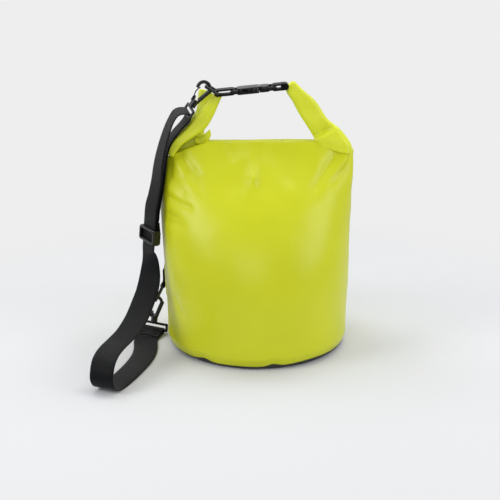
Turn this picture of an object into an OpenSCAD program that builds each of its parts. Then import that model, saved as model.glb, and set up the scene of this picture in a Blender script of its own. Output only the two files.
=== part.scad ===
// Roll-top dry bag with a buckled carrying handle and a removable shoulder strap.
// X runs along the rolled mouth, Y points away from the front, Z is up.
// The origin is the centre of the base, on the surface that the bag stands on.

/* [Bag] */
// Outer diameter of the round base
base_d = 273; // [255:1:285]
// Widest width of the filled bag
bag_w = 282; // [276:1:292]
// Height of the fold at the top of the front panel
fold_z = 306; // [296:1:316]
// Thickness of the coated fabric wall
wall_t = 1; // [0.6:0.1:1.4]
// Height of the lower edge of the wall above the floor
rim_z = 3; // [2:0.5:6]
// Share of the height that stays round before the bag flattens
belly = 0.3; // [0.2:0.05:0.4]
// How far the mouth sits to the right of the base
top_shift = 4; // [0:1:6]
// Thickness of the seam tape at the back
seam_t = 0.8; // [0.4:0.1:1.2]
// Thickness of the base panel
base_t = 1.2; // [0.8:0.1:2]
// Height of the base panel's welded flange
flange_h = 18; // [12:1:30]

/* [Rolled mouth] */
// Height of the rolled mouth
roll_h = 18; // [14:1:22]
// Depth of the rolled mouth, front to back
roll_d = 26; // [22:1:30]
// Length of the roll between the turned-up ends
roll_l = 158; // [140:1:166]
// Thickness of the stiffener inside the roll
stiffener_t = 2; // [1:0.5:3]
// Thickness of a turned-up end where it meets the buckle
ear_tip_t = 20; // [16:1:22]

/* [Buckle] */
// Height of the buckle's centre
buckle_z = 381; // [376:1:390]
// Upward slope of the buckle to the right, in degrees
buckle_tilt = 5.6; // [3:0.2:8]
// Width of the buckle across its two sides
buckle_w = 36; // [34:1:40]
// Thickness of the socket half
buckle_t = 9; // [8.5:0.5:12]
// Length of the socket half
socket_l = 32; // [30:1:36]
// Width of the webbing loops at the buckle's ends
tab_w = 26; // [20:1:27]
// Thickness of the doubled webbing in these loops
loop_t = 2.6; // [1.6:0.1:3]
// Radius of the round bars that carry webbing
bar_r = 2; // [1.6:0.1:2.2]

/* [Strap] */
// Width of the strap webbing
strap_w = 36; // [30:1:38]
// Thickness of the strap webbing
strap_t = 1.8; // [1.2:0.1:2]
// Length of the sewn end at the lower eye
lower_end_l = 26; // [20:1:26]
// Length of the sewn end at the slider
slider_end_l = 26; // [18:1:26]
// Height of the slider's frame
slider_h = 22; // [20:1:24]

/* [Snap hooks] */
// Height of a hook from its swivel to the top of its bow
hook_h = 44; // [42:1:46]
// Radius of the bow's centre line
bow_r = 8.7; // [8:0.1:9.5]
// Thickness of the hook's bar
hook_t = 5; // [4:0.2:5.2]
// Radius of the swivel post
post_r = 2.4; // [1.8:0.1:2.6]
// Width of the gate tongue
gate_w = 3.4; // [2.6:0.2:3.6]

/* [Lower ring] */
// Height of the ring's hinge bar on the bag
ring_z = 82; // [76:1:88]
// Thickness of the welded patch
patch_t = 1; // [0.6:0.1:1.4]
// Height of the webbing tab above the hinge bar
lower_tab_h = 30; // [24:1:36]
// Thickness of the tab webbing
tab_t = 1.6; // [1.2:0.1:2]

/* [Hidden] */
// Each piece, in the order in which it is drawn
$fn = 48;

// Clearances: seat between touching pieces, run on a round pivot, play beside moving pieces
seat = 0.3;
run = 0.06;
play = 0.6;
// Overlap that keeps a cut clean
cut = 1;

// Wall of the bag: its segments, rings and top edge
wall_segs = 64;
wall_rings = 18;
wall_top = fold_z - roll_h;
seg_ang = 360 / wall_segs;

// Bag colours
lime = [0.76, 0.78, 0.18];
black = [0.13, 0.13, 0.14];
web_black = [0.2, 0.2, 0.22];

// Mouth: the ends of the roll and the width of the bag just under it
roll_x0 = top_shift - roll_l / 2;
roll_x1 = top_shift + roll_l / 2;
corner_drop = 4;
roll_y = 1;
// Layers of the roll over and under the stiffener, and the rounding of the roll
roll_wrap = 3;
roll_round = 7;
stiffener_h = roll_h - 2 * roll_wrap;

// Reach of each turned-up end past the corner of the webbing loop over it: its left edge, then its right edge
left_tip = [[-24, 0, 3.2], [7, 0, -1.6]];
right_tip = [[5.8, 0, -3], [14.5, 0, 10]];
// Steps of each turned-up end's outer edge at the fold: in and up
left_step = [4, 0, -5];
right_step = [-5, 0, 1];

// Buckle frame and the places along its own X axis
buckle_at = [-5, 10, buckle_z];
socket_x1 = 8;
socket_x0 = socket_x1 - socket_l;
tab_loop_r = bar_r + seat + loop_t;
female_bar_x = socket_x0 - 7.5;
male_base_x0 = socket_x1 + 0.4;
male_base_l = 13.6;
male_bar_x = male_base_x0 + male_base_l + 8.5;
left_tab_l = 21.5;
ring_bar_x = female_bar_x - left_tab_l;
right_tab_l = 15.5;
cavity_w = buckle_w - 7.6;
cavity_h = buckle_t - 4.4;
window_x = [-15, -3];
arm_t = 2.8;
arm_h = 6;

// Prongs: pivot in the plug half, and the section of the arm
prong_pivot = [male_base_x0 + 3, 9.5];
prong_h = cavity_h - 2 * play + 0.2;
prong_barrel_r = 2.6;
prong_pin_r = 1;
prong_arm_t = 3.4;
guide_w = 6;

// Top ring, in the buckle frame: it rises to the left from its hinge bar
top_ring_l = 19;
top_ring_rise = 37;
ring_half_w = tab_w / 2 + play + bar_r;

// Snap hooks: bow centre, nose end, collar and gate pivot, in a hook's own frame
bow_z = hook_h - bow_r - hook_t / 2;
nose_z = bow_z - 2.6;
collar_r = post_r + 2.8;
collar_z0 = 0.4;
collar_h = 11;
head_h = 2;
head_r = post_r + 1.3;
gate_pivot = [-4.6, 14.4];
gate_barrel_r = 2.3;
gate_pin_r = 0.9;
lug_t = 1.6;
gate_t = 1.6;
gate_sag = 2.5;
// Extra radius of the spine over the bow, and of the knob where they meet
spine_extra = 0.7;
spine_knob = 0.15;

// Webbing eyes under the hooks
eye_h = 10;
eye_half_w = strap_w / 2 + 1.2 + bar_r;
top_hook_at = [-95.5, 4, 356.2];
top_lean = 34;
top_eye_turn = 17;
low_lean = 7;
low_eye_turn = 78 + seg_ang;
low_hook_z = 19;
low_end_slope = 7;

// Lower ring: radial places on the left wall, and the hook that hangs in the ring
patch_gap = 0.25;
patch_face = max(half_w(ring_z), half_w(ring_z + lower_tab_h)) + patch_gap + patch_t;
ring_bar_rad = patch_face + seat + tab_t + seat + bar_r;
low_hook_rad = ring_bar_rad + 17.5;
ring_hang = [0, bow_z + bow_r - hook_t / 2 - bar_r - 2 * play];
low_ring_end = [
    -low_hook_rad + ring_hang[1] * sin(low_lean) + ring_hang[0] * cos(low_lean),
    low_hook_z + ring_hang[1] * cos(low_lean) - ring_hang[0] * sin(low_lean)
];

// Length over which the two layers of a strap end are stitched together
sewn_l = 9;

// Slider: its place on the strap's straight stretch, and its bars
slider_at = [-159.2, -29, 172];
slider_lean = 5;
strap_turn = 33;
rail_t = 3;
rail_x = strap_w / 2 + 1;
front_bar_y = -(strap_t / 2 + 0.4 + bar_r);
centre_bar_y = strap_t / 2 + seat + tab_t + seat + bar_r;

// Strap route from the lower sewn end up to the slider and the top eye: x, y, z, then the turn of
// the strap's width about the vertical, and its rise where it isn't level
main_route = [
    [-168.15, -10.3, 4.2, 78, -0.12], [-169.6, -17, 3.5, 78, -0.12], [-170, -26, 2.4, 80, -0.05],
    [-168.6, -38, 1.6, 83], [-167, -58, 1.2, 84],
    [-168, -84, 1.2, 80], [-173, -112, 1.2, 76], [-180, -138, 1.2, 73], [-187.5, -162, 1.2, 70],
    [-195, -182, 1.2, 68], [-201.5, -197, 2.8, 67], [-206.5, -208, 9, 67], [-209, -212, 20, 67],
    [-208.5, -209, 31, 67], [-207, -200, 41, 67], [-204, -186, 47, 68], [-199, -168, 50, 70],
    [-192, -148, 52, 72], [-182, -123, 57, 74], [-173, -97, 68, 74], [-166, -74, 83, 72],
    [-161, -58, 97, 68], [-158.6, -45, 113, 60], [-158.6, -36, 130, 47], [-160.5, -30, 143, 36],
    [-161.1, -29, 150, 33], [-160.2, -29, 160.2, 33], [-159.2, -29, 172, 33], [-158.2, -29, 183.5, 33],
    [-157.1, -29, 196, 33], [-156.1, -29, 207, 33], [-154.8, -27.9, 217, 32], [-151, -24, 232, 30],
    [-147.8, -17, 250, 28], [-144.8, -11, 274, 25], [-139.5, -7, 298, 22], [-132.5, -4, 320, 20],
    [-125.5, -3, 337, 18], [-117.8, -1, 347.9, 16, -0.11], [-109.2, 1.5, 350.6, 15, -0.15]
];
// Route of the return run, from the top eye down to the slider
return_route = [
    [-103.2, 5.2, 337.7, 15, -0.11], [-110.5, 5.2, 329.5, 16], [-119, 4.5, 320, 17], [-127, 3.3, 309.5, 18],
    [-133, 1.4, 299, 20], [-137, -0.8, 287, 22], [-140.5, -4.5, 270, 25], [-143.5, -9.5, 252, 28],
    [-147, -15.8, 234, 31], [-150.4, -22.4, 217, 33], [-151.8, -25.7, 207, 33], [-152.6, -26.1, 198.4, 33]
];

// Blends and interpolation
function mix(a, b, t) = a + (b - a) * t;
function ease(t) = let (c = min(1, max(0, t))) c * c * (3 - 2 * c);
function unit(v) = v / norm(v);

// Half width, half depth and sideways shift of the bag at a height
function ring_height(j) = mix(rim_z, wall_top, j / wall_rings);
function share(z) = (z - rim_z) / (wall_top - rim_z);
function half_w(z) =
    mix(base_d, bag_w, ease((share(z) - 0.1) / 0.6)) / 2 - corner_drop * ease((share(z) - 0.85) / 0.15);
function half_d(z) = let (u = min(1, max(0, (share(z) - belly) / (1 - belly))))
    mix(roll_d / 2 - 1, base_d / 2, pow(1 - pow(u, 2.2), 0.9));
function wall_point(z, ang, off) =
    [top_shift * pow(max(0, share(z)), 8) + (half_w(z) + off) * cos(ang), (half_d(z) + off) * sin(ang), z];

// Faces of a stack of rings of n points: closed on itself, or capped at both ends
function side_faces(count, n, rows) = [
    for (j = [0:rows - 1], i = [0:n - 1], k = [0, 1])
        let (row = j * n, next = ((j + 1) % count) * n, right = (i + 1) % n)
        k == 0 ? [row + i, next + i, next + right] : [row + i, next + right, row + right]
];
function cap_faces(count, n) = [[for (i = [0:n - 1]) i], [for (i = [0:n - 1]) count * n - 1 - i]];
function flatten(rings) = [for (ring = rings, p = ring) p];

module ring_stack(rings) {
    n = len(rings[0]);
    polyhedron(flatten(rings), concat(side_faces(len(rings), n, len(rings) - 1), cap_faces(len(rings), n)));
}

module closed_stack(rings) {
    n = len(rings[0]);
    polyhedron(flatten(rings), side_faces(len(rings), n, len(rings)));
}

// A strip that lies on the wall between two angles, at a list of heights
module wall_strip(heights, seg0, seg1, low, high) {
    ring_stack([for (z = heights) concat(
        [for (i = [seg0:seg1]) wall_point(z, i * seg_ang, high)],
        [for (i = [seg1:-1:seg0]) wall_point(z, i * seg_ang, low)]
    )]);
}

// A rounded rectangle of true arcs
module rounded(size, r) {
    square([size[0] - 2 * r, size[1]], center = true);
    square([size[0], size[1] - 2 * r], center = true);
    for (x = [-1, 1], y = [-1, 1])
        translate([x * (size[0] / 2 - r), y * (size[1] / 2 - r)]) circle(r);
}

// A round bar between two points
module bar(p, q, r) {
    d = q - p;
    translate(p) rotate([0, acos(d[2] / norm(d)), atan2(d[1], d[0])]) cylinder(r = r, h = norm(d));
}

// A four-sided loop of round bar in the YZ plane, hanging below its top bar
module bar_loop(half_w, height, r) {
    corners = [[0, -half_w, 0], [0, half_w, 0], [0, half_w, -height], [0, -half_w, -height]];
    for (i = [0:3]) {
        bar(corners[i], corners[(i + 1) % 4], r);
        translate(corners[i]) sphere(r);
    }
}

// Frames of the assemblies
module buckle_frame() { translate(buckle_at) rotate([0, -buckle_tilt, 0]) children(); }
module lower_frame() { rotate([0, 0, -seg_ang]) children(); }
module top_hook_frame() { translate(top_hook_at) rotate([0, top_lean, 0]) children(); }
module low_hook_frame() {
    lower_frame() translate([-low_hook_rad, 0, low_hook_z]) rotate([0, low_lean, 0]) children();
}
module slider_frame() {
    translate(slider_at) rotate([0, slider_lean, 0]) rotate([0, 0, strap_turn - 90]) children();
}

// A strap along a route: eight points round a flat section
function between(a, b, c, d, t) =
    (2 * b + (c - a) * t + (2 * a - 5 * b + 4 * c - d) * t * t + (3 * b - a - 3 * c + d) * t * t * t) / 2;
function finer(route) = let (last = len(route) - 1) concat(
    [for (i = [0:last - 1], t = [0, 0.5])
        between(route[max(0, i - 1)], route[i], route[i + 1], route[min(last, i + 2)], t)],
    [route[last]]
);
function place(p) = [p[0], p[1], p[2]];
function strap_ring(path, i) = let (
    last = len(path) - 1,
    along = unit(place(path[min(last, i + 1)]) - place(path[max(0, i - 1)])),
    level = [sin(path[i][3]), -cos(path[i][3]), path[i][4]],
    across = unit(level - along * (level * along)),
    up = cross(along, across),
    flat = strap_w / 2,
    edge = flat - strap_t / 4,
    t = strap_t / 2
) [for (c = [
    [-edge, -t], [edge, -t], [flat, -t / 2], [flat, t / 2],
    [edge, t], [-edge, t], [-flat, t / 2], [-flat, -t / 2]
]) place(path[i]) + across * c[0] + up * c[1]];

module strap_along(route) {
    path = finer([for (p = route) len(p) > 4 ? p : concat(p, [0])]);
    ring_stack([for (i = [0:len(path) - 1]) strap_ring(path, i)]);
}

// Points round the lower bar of the top eye, where the strap turns
eye_x = [cos(top_eye_turn) * cos(top_lean), sin(top_eye_turn), -cos(top_eye_turn) * sin(top_lean)];
eye_z = [sin(top_lean), 0, cos(top_lean)];
eye_across = cross(eye_x, eye_z);
eye_bar_z = -bar_r - eye_h;
strap_turn_r = bar_r + seat + strap_t / 2;
function eye_turn(ang) = concat(
    top_hook_at + eye_z * eye_bar_z + strap_turn_r * (cos(ang) * eye_x + sin(ang) * eye_z),
    [atan2(eye_across[0], -eye_across[1]), eye_across[2]]
);

// A sewn webbing end: a loop round a bar and two layers that close over its length, towards -X
module sewn_end(length, width) {
    r0 = bar_r + seat;
    r1 = r0 + tab_t;
    rotate([90, 0, 0]) linear_extrude(width, center = true) difference() {
        union() {
            circle(r1);
            polygon([[0, r1], [-length, tab_t], [-length, -tab_t], [0, -r1]]);
        }
        circle(r0);
        polygon([[0, r0], [0, -r0], [sewn_l - length, 0]]);
    }
}

// A slot shape with round ends, from X = 0 to X = -length
module long_round(length, r) {
    circle(r);
    translate([-length, 0]) circle(r);
    translate([-length, -r]) square([length, 2 * r]);
}

// A flat webbing loop round two bars, from X = 0 to X = -length
module webbing_loop(length) {
    r1 = tab_loop_r;
    r0 = bar_r + seat;
    rotate([90, 0, 0]) linear_extrude(tab_w, center = true) difference() {
        long_round(length, r1);
        long_round(length, r0);
    }
}

// Bag
module bag_wall() {
    function wall_ring(j, off) = [for (i = [0:wall_segs - 1]) wall_point(ring_height(j), i * seg_ang, off)];
    color(lime) closed_stack(concat(
        [for (j = [0:wall_rings]) wall_ring(j, 0)],
        [for (j = [wall_rings:-1:0]) wall_ring(j, -wall_t)]
    ));
}

module base_panel() {
    r = (base_d / 2 - wall_t) * cos(seg_ang / 2) - seat;
    turn_in = 10;
    in = r - base_t;
    top = rim_z + flange_h;
    color(black) rotate_extrude($fn = 96) polygon([
        [0, 0], [r - turn_in, 0], [r, rim_z], [r, top],
        [in, top], [in, rim_z + base_t / 2], [r - turn_in, base_t], [0, base_t]
    ]);
}

module back_seam() {
    back = wall_segs / 4;
    top = patch_gap + seam_t;
    heights = [for (j = [0:wall_rings - 1]) ring_height(j)];
    color(lime) wall_strip(heights, back - 1, back + 1, patch_gap, top);
}

module rolled_mouth() {
    slot = [stiffener_t + 2 * seat, stiffener_h + 2 * seat];
    color(lime) translate([roll_x0, roll_y, wall_top + seat + (roll_h - seat) / 2])
        rotate([90, 0, 90]) linear_extrude(roll_l) difference() {
            rounded([roll_d, roll_h - seat], roll_round);
            square(slot, center = true);
        }
}

module mouth_stiffener() {
    foot = wall_top + seat + (roll_h - seat - stiffener_h) / 2;
    color(black) translate([roll_x0, roll_y - stiffener_t / 2, foot])
        cube([roll_l, stiffener_t, stiffener_h]);
}

// A rounded section between two points, set back by y and t deep
function ear_section(a, b, y, t) = [for (k = [0:15])
    let (x = round_off(cos(k * 22.5)), d = round_off(sin(k * 22.5)))
    (a + b) / 2 + (b - a) / 2 * x + [0, y + t / 2 * d, 0]
];
function round_off(c) = sign(c) * pow(abs(c), 0.66);

// A turned-up end of the roll: from its foot on the mouth to its tip at the buckle
module ear(foot, low, tip, bow, y, depth) {
    rows = 8;
    ring_stack(concat(
        [ear_section(foot[0], foot[1], y[0], depth[0])],
        [for (j = [0:rows]) let (t = j / rows, swell = sin(180 * t)) ear_section(
            mix(low[0], tip[0], t) + [bow[0] * swell, 0, 0],
            mix(low[1], tip[1], t) + [bow[1] * swell, 0, 0],
            mix(y[0], y[1], ease(1.3 * t)),
            mix(depth[0], depth[1], t)
        )]
    ));
}

module left_ear() {
    out = top_shift - half_w(wall_top);
    inner = roll_x0 - seat;
    corner = tab_corner(ring_bar_x);
    color(lime) ear(
        [[out, 0, wall_top + seat], [inner, 0, wall_top + seat]],
        [[out, 0, fold_z] + left_step, [inner, 0, fold_z + seat]],
        [for (reach = left_tip) corner + reach],
        [15, 1], [roll_y, 21], [roll_d - 2, ear_tip_t]);
}

module right_ear() {
    out = top_shift + half_w(wall_top);
    inner = roll_x1 + seat;
    corner = tab_corner(male_bar_x + right_tab_l);
    color(lime) ear(
        [[inner, 0, wall_top + seat], [out, 0, wall_top + seat]],
        [[inner, 0, fold_z + seat], [out, 0, fold_z] + right_step],
        [for (reach = right_tip) corner + reach],
        [-4, 0], [roll_y, buckle_at[1]], [roll_d - 2, ear_tip_t + 6]);
}

// Point under a webbing loop at a place along the buckle, in the plane Y = 0
function tab_corner(x) = [
    buckle_at[0] + x * cos(buckle_tilt) + tab_loop_r * sin(buckle_tilt),
    0,
    buckle_at[2] + x * sin(buckle_tilt) - tab_loop_r * cos(buckle_tilt)
];

// Lower ring and its fixing on the wall
module lower_patch() {
    left = wall_segs / 2 - 1;
    margin = 8;
    heights = [for (j = [0:4]) mix(ring_z - margin, ring_z + lower_tab_h + margin, j / 4)];
    color(lime) wall_strip(heights, left - 2, left + 2, patch_gap, patch_gap + patch_t);
}

module lower_tab() {
    r0 = bar_r + seat;
    r1 = r0 + tab_t;
    color(web_black) lower_frame() translate([-ring_bar_rad, 0, ring_z]) rotate([90, 0, 0])
        linear_extrude(tab_w, center = true) difference() {
            union() {
                circle(r1);
                translate([r1 - tab_t, 0]) square([tab_t, lower_tab_h]);
                translate([r1 - 2 * tab_t, bar_r]) square([2 * tab_t, lower_tab_h - bar_r - 4]);
            }
            circle(r0);
        }
}

module lower_ring() {
    drop = low_ring_end - [-ring_bar_rad, ring_z];
    arc_z = norm(drop) - ring_half_w;
    lean = atan2(-drop[0], -drop[1]);
    color(black) lower_frame() translate([-ring_bar_rad, 0, ring_z]) rotate([0, lean, 0]) {
        bar([0, -ring_half_w, 0], [0, ring_half_w, 0], bar_r);
        for (s = [-1, 1]) {
            translate([0, s * ring_half_w, 0]) sphere(bar_r);
            bar([0, s * ring_half_w, -arc_z], [0, s * ring_half_w, 0], bar_r);
        }
        translate([0, 0, -arc_z]) rotate([0, 90, 0]) rotate([0, 0, -90])
            rotate_extrude(angle = 180) translate([ring_half_w, 0]) circle(bar_r);
    }
}

// Buckle
module left_tab() {
    color(web_black) buckle_frame() translate([female_bar_x, 0, 0]) webbing_loop(left_tab_l);
}

module right_tab() {
    color(web_black) buckle_frame() translate([male_bar_x + right_tab_l, 0, 0]) webbing_loop(right_tab_l);
}

// A bar held by two side arms, from x0 to the bar
module barred_end(x0, bar_x, width) {
    for (s = [-1, 1])
        translate([min(x0, bar_x), s * (width - arm_t) / 2 - arm_t / 2, -arm_h / 2])
            cube([abs(bar_x - x0), arm_t, arm_h]);
    bar([bar_x, -width / 2, 0], [bar_x, width / 2, 0], bar_r);
    for (s = [-1, 1])
        bar([bar_x, s * (width / 2 - arm_t), 0], [bar_x, s * width / 2, 0], arm_h / 2);
}

module buckle_female() {
    color(black) buckle_frame() difference() {
        union() {
            translate([socket_x0 + socket_l / 2, 0, -buckle_t / 2]) linear_extrude(buckle_t)
                rounded([socket_l, buckle_w], 5);
            barred_end(socket_x0 + 2, female_bar_x, buckle_w);
        }
        translate([socket_x0 + 5, -cavity_w / 2, -cavity_h / 2]) cube([socket_l, cavity_w, cavity_h]);
        translate([window_x[0], -buckle_w / 2 - cut, -cavity_h / 2])
            cube([window_x[1] - window_x[0], buckle_w + 2 * cut, cavity_h]);
    }
}

module buckle_male() {
    slot_w = 8.4;
    plug_w = buckle_w - 2;
    guide_x = window_x[0] - 1;
    color(black) buckle_frame() {
        difference() {
            union() {
                translate([male_base_x0 + male_base_l / 2, 0, 0])
                    linear_extrude(buckle_t - 0.8, center = true) rounded([male_base_l, plug_w], 4);
                barred_end(male_base_x0 + male_base_l - 2, male_bar_x, plug_w);
            }
            for (s = [-1, 1])
                translate([male_base_x0 - cut, s * prong_pivot[1] - slot_w / 2, -cavity_h / 2])
                    cube([cut + 3 + prong_barrel_r + play, slot_w, cavity_h]);
        }
        translate([guide_x, -guide_w / 2, -cavity_h / 2 + play])
            cube([male_base_x0 + cut - guide_x, guide_w, cavity_h - 2 * play]);
        for (s = [-1, 1])
            translate([prong_pivot[0], s * prong_pivot[1], 0])
                cylinder(r = prong_pin_r, h = cavity_h + 2 * cut, center = true);
    }
}

// A sprung prong: a barrel on its pin, an arm and a side button in the socket's window
module prong() {
    edge = buckle_w / 2 - 1.4;
    root = cavity_w / 2 - 2.6;
    inner = prong_pivot[1] - prong_arm_t / 2;
    color(black) translate([0, 0, -prong_h / 2]) linear_extrude(prong_h) difference() {
        union() {
            translate(prong_pivot) circle(prong_barrel_r);
            polygon([
                [prong_pivot[0], inner], [prong_pivot[0], inner + prong_arm_t], [window_x[1] + 0.6, root],
                [window_x[1] - 1.2, edge], [window_x[0] + 5, edge - 0.4], [window_x[0] - 1, root],
                [window_x[0] - 1, inner + 0.8]
            ]);
        }
        translate(prong_pivot) circle(prong_pin_r + run);
    }
}

module front_prong() { buckle_frame() mirror([0, 1, 0]) prong(); }
module rear_prong() { buckle_frame() prong(); }

module top_ring() {
    color(black) buckle_frame() translate([ring_bar_x, 0, 0]) rotate([0, 90 + top_ring_rise, 0])
        bar_loop(ring_half_w, top_ring_l, bar_r);
}

// Snap hook: collar on the swivel post, spine, bow and nose, with lugs and a pin for the gate
module hook() {
    r = hook_t / 2;
    spine_r = r + spine_extra;
    spine_x = bow_r + spine_extra;
    lug_gap = 0.2;
    lug_z = collar_z0 + collar_h - 3;
    color(black) {
        difference() {
            union() {
                translate([0, 0, collar_z0]) cylinder(r = collar_r, h = collar_h);
                for (s = [-1, 1])
                    translate([gate_pivot[0], s * (gate_w / 2 + lug_gap + lug_t / 2), 0]) {
                        translate([-gate_barrel_r, -lug_t / 2, lug_z])
                            cube([2 * gate_barrel_r, lug_t, gate_pivot[1] - lug_z]);
                        translate([0, 0, gate_pivot[1]]) rotate([90, 0, 0])
                            cylinder(r = gate_barrel_r, h = lug_t, center = true);
                    }
                bar([collar_r - r - 0.2, 0, collar_h - 2], [spine_x, 0, bow_z], spine_r);
            }
            translate([0, 0, -cut]) cylinder(r = post_r + run, h = collar_h + 3 * cut);
            translate([0, 0, collar_z0 + collar_h - head_h - seat])
                cylinder(r = head_r + seat, h = head_h + 3 * cut);
        }
        translate([0, 0, bow_z]) rotate([90, 0, 0])
            rotate_extrude(angle = 180) translate([bow_r, 0]) circle(r);
        translate([spine_x, 0, bow_z]) sphere(spine_r + spine_knob);
        bar([-bow_r, 0, nose_z], [-bow_r, 0, bow_z], r);
        translate([-bow_r, 0, nose_z]) sphere(r);
        translate([gate_pivot[0], 0, gate_pivot[1]]) rotate([90, 0, 0])
            cylinder(r = gate_pin_r, h = gate_w + 2 * lug_t, center = true);
    }
}

// Sprung gate: a bowed tongue from its barrel to the inside of the nose
module gate() {
    tip = [gate_pivot[0] - 0.2, nose_z + 0.4];
    chord = tip[1] - gate_pivot[1];
    arc_r = (chord * chord / 4 + gate_sag * gate_sag) / (2 * gate_sag);
    half = asin(chord / 2 / arc_r);
    color(black) rotate([90, 0, 0]) linear_extrude(gate_w, center = true) difference() {
        union() {
            translate(gate_pivot) circle(gate_barrel_r);
            translate([gate_pivot[0] + arc_r - gate_sag, gate_pivot[1] + chord / 2]) difference() {
                circle(arc_r + gate_t / 2, $fn = 180);
                circle(arc_r - gate_t / 2, $fn = 180);
                rotate(180 + half) translate([-2 * arc_r, 0]) square([4 * arc_r, 3 * arc_r]);
                rotate(-half) translate([-2 * arc_r, 0]) square([4 * arc_r, 3 * arc_r]);
            }
        }
        translate(gate_pivot) circle(gate_pin_r + run);
    }
}

// Webbing eye with its swivel post and head
module eye(turn) {
    color(black) {
        rotate([0, 0, turn]) translate([0, 0, -bar_r]) bar_loop(eye_half_w, eye_h, bar_r);
        translate([0, 0, -bar_r]) cylinder(r = post_r, h = bar_r + collar_z0 + collar_h - 0.2);
        translate([0, 0, collar_z0 + collar_h - head_h]) cylinder(r = head_r, h = head_h);
    }
}

module top_hook() { top_hook_frame() hook(); }
module top_gate() { top_hook_frame() gate(); }
module top_eye() { top_hook_frame() eye(top_eye_turn); }
module bottom_hook() { low_hook_frame() hook(); }
module bottom_gate() { low_hook_frame() gate(); }
module bottom_eye() { low_hook_frame() eye(low_eye_turn); }

// Strap and slider
module slider() {
    depth = centre_bar_y - front_bar_y + 2 * bar_r;
    bar_x = rail_x + cut;
    end_z = slider_h / 2 - bar_r;
    color(black) slider_frame() {
        for (s = [-1, 1])
            translate([s * (rail_x + rail_t / 2) - rail_t / 2, (front_bar_y + centre_bar_y) / 2, 0])
                rotate([90, 0, 90]) linear_extrude(rail_t) rounded([depth, slider_h], 4);
        for (z = [-end_z, end_z])
            bar([-bar_x, front_bar_y, z], [bar_x, front_bar_y, z], bar_r);
        bar([-bar_x, centre_bar_y, 0], [bar_x, centre_bar_y, 0], bar_r);
    }
}

module strap_main() {
    color(web_black) strap_along(concat(main_route, [for (a = [110, 80, 55, 30, 6]) eye_turn(a)]));
}

module strap_return() {
    color(web_black) strap_along(concat([eye_turn(-6)], return_route));
}

module strap_slider_end() {
    color(web_black) slider_frame() translate([0, centre_bar_y, 0]) rotate([0, 0, 90]) rotate([0, 90, 0])
        sewn_end(slider_end_l, strap_w);
}

module strap_lower_end() {
    color(web_black) low_hook_frame() rotate([0, 0, low_eye_turn]) translate([0, 0, eye_bar_z])
        rotate([0, -low_end_slope, 0]) sewn_end(lower_end_l, strap_w);
}

bag_wall();
base_panel();
back_seam();
rolled_mouth();
mouth_stiffener();
left_ear();
right_ear();
lower_patch();
lower_tab();
lower_ring();
left_tab();
right_tab();
buckle_female();
buckle_male();
front_prong();
rear_prong();
top_ring();
top_hook();
top_gate();
top_eye();
bottom_hook();
bottom_gate();
bottom_eye();
slider();
strap_main();
strap_return();
strap_slider_end();
strap_lower_end();
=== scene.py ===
"""Looks of a roll-top dry bag with a buckled mouth and a webbing shoulder strap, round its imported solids."""

import math

import bmesh
import bpy
from mathutils import Matrix, Vector, noise


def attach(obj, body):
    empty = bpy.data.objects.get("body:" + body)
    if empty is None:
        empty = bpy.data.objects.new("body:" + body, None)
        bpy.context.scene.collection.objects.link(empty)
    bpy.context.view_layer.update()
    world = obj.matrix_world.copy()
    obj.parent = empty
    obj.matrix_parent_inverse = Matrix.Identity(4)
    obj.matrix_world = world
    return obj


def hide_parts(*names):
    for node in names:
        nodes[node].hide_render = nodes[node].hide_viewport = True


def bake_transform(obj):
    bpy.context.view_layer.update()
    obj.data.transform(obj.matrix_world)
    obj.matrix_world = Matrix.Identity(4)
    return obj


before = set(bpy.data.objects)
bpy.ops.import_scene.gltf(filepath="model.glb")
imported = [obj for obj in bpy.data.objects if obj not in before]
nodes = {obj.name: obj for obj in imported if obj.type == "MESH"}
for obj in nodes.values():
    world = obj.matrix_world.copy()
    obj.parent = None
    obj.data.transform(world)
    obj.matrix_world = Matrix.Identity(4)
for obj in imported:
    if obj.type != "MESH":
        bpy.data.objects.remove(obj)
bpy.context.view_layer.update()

# Shapes are worked out in millimetres and written to the meshes in metres
MM = 0.001


def mix(a, b, t):
    return a + (b - a) * t


def ease(t):
    t = min(1.0, max(0.0, t))
    return t * t * (3 - 2 * t)


def along_table(table, t):
    """Smooth value at t, from 0 to 1, of a short list of evenly spaced values or vectors."""
    last = len(table) - 1
    i = min(last - 1, int(t * last))
    f = t * last - i
    a, b, c, d = (table[min(last, max(0, k))] for k in (i - 1, i, i + 1, i + 2))
    return (b * 2 + (c - a) * f + (a * 2 - b * 5 + c * 4 - d) * f * f + (b * 3 - a - c * 3 + d) * f ** 3) * 0.5


# Camera: the photograph's own, fitted to the round base and the upright outline
CAMERA_AT = Vector((-10.5, -1381, 544)) * MM
CAMERA_DOWN = math.radians(16.3)
FOCAL_PIXELS = 950
IMAGE_PIXELS = 500


def make_camera():
    data = bpy.data.cameras.new("camera")
    data.sensor_width = 36
    data.lens = data.sensor_width * FOCAL_PIXELS / IMAGE_PIXELS
    camera = bpy.data.objects.new("camera", data)
    camera.location = CAMERA_AT
    camera.rotation_euler = (math.pi / 2 - CAMERA_DOWN, 0, 0)
    bpy.context.scene.collection.objects.link(camera)
    bpy.context.scene.camera = camera


make_camera()


# Materials

# Sizes of their patterns, in metres
FABRIC_TONE = 0.07
FABRIC_GLOSS = 0.012
SCRIM_PITCH = 0.0012
SKIN_DENT = 0.025
CHEVRON_HALF = 0.0025
RIB_PITCH = 0.0015
WEBBING_WEAR = 0.02
MOULD_GRAIN = 0.0006
HANDLING = 0.009
THREAD_TWIST = 0.0004
# Scale of a wave texture whose bands are a metre apart
WAVE_BAND = 2 * math.pi / 20


def srgb(code):
    """Linear colour of an sRGB hex code."""
    channels = [int(code[i:i + 2], 16) / 255 for i in (0, 2, 4)]
    return [c / 12.92 if c <= 0.04045 else ((c + 0.055) / 1.055) ** 2.4 for c in channels] + [1.0]


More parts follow.
